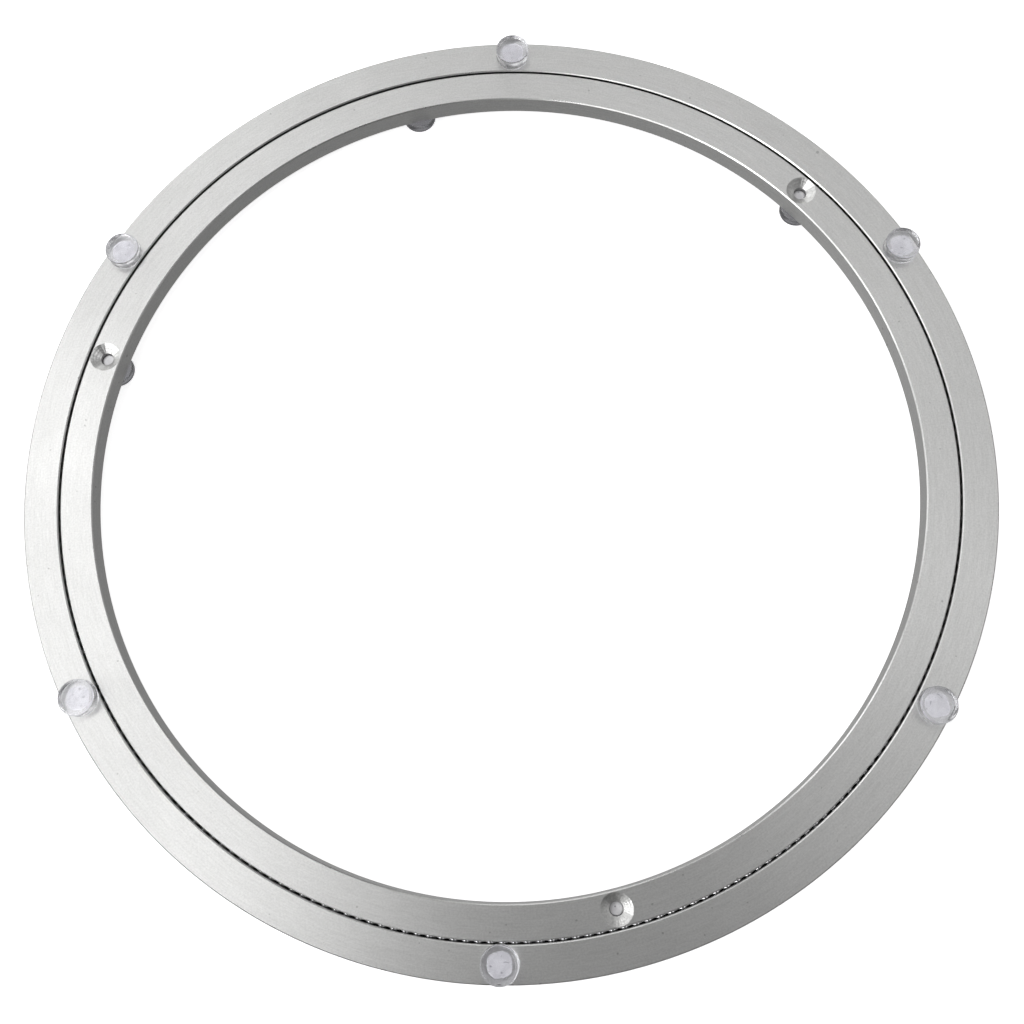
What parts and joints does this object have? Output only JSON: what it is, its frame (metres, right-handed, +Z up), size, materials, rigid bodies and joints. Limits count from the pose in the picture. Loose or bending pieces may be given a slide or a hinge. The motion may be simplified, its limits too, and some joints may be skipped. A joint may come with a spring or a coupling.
{
  "type": "turntable bearing ring",
  "caption": "Flat aluminium ball-bearing turntable ring: an outer ring with clear grip pads turns around an inner ring with clear feet and countersunk screw holes; open centre.",
  "frame": {"origin": "on the axis of rotation, at the level of the undersides of the six feet", "axes": "+Z up along the axis of rotation, out of the face with the countersinks and grip pads"},
  "size_m": [0.35, 0.35, 0.0181],
  "materials": {
    "ring_aluminium": "satin, finely turned, with bright bevelled edges",
    "ball_steel": "polished bearing steel",
    "plug_steel": "plain turned steel",
    "clear_polyurethane": "clear soft polyurethane",
    "clear_adhesive": "clear adhesive with whitish trapped air"
  },
  "bodies": {
    "base": {"inner_ring": "ring_aluminium", "foot_1": "clear_polyurethane", "foot_2": "clear_polyurethane", "foot_3": "clear_polyurethane", "foot_4": "clear_polyurethane", "foot_5": "clear_polyurethane", "foot_6": "clear_polyurethane", "foot_adhesive_1": "clear_adhesive", "foot_adhesive_2": "clear_adhesive", "foot_adhesive_3": "clear_adhesive", "foot_adhesive_4": "clear_adhesive", "foot_adhesive_5": "clear_adhesive", "foot_adhesive_6": "clear_adhesive"},
    "turntable": {"outer_ring": "ring_aluminium", "ball_filler_plug": "plug_steel", "top_pad_1": "clear_polyurethane", "top_pad_2": "clear_polyurethane", "top_pad_3": "clear_polyurethane", "top_pad_4": "clear_polyurethane", "top_pad_5": "clear_polyurethane", "top_pad_6": "clear_polyurethane", "top_pad_adhesive_1": "clear_adhesive", "top_pad_adhesive_2": "clear_adhesive", "top_pad_adhesive_3": "clear_adhesive", "top_pad_adhesive_4": "clear_adhesive", "top_pad_adhesive_5": "clear_adhesive", "top_pad_adhesive_6": "clear_adhesive"},
    "ball_train": {"bearing_balls_1": "ball_steel", "bearing_balls_2": "ball_steel", "bearing_balls_3": "ball_steel", "bearing_balls_4": "ball_steel", "bearing_balls_5": "ball_steel", "bearing_balls_6": "ball_steel", "bearing_balls_7": "ball_steel", "bearing_balls_8": "ball_steel", "bearing_balls_9": "ball_steel", "bearing_balls_10": "ball_steel", "bearing_balls_11": "ball_steel", "bearing_balls_12": "ball_steel"}
  },
  "joints": [
    {"name": "spin", "type": "hinge", "parent": "base", "child": "turntable", "pos_m": [0, 0, 0.00905], "axis": [0, 0, 1], "continuous": true},
    {"name": "ball_train_spin", "type": "hinge", "parent": "base", "child": "ball_train", "pos_m": [0, 0, 0.00905], "axis": [0, 0, 1], "continuous": true}
  ],
  "couplings": [
    {"joint": "ball_train_spin", "follows": "spin", "ratio": 0.50612}
  ]
}
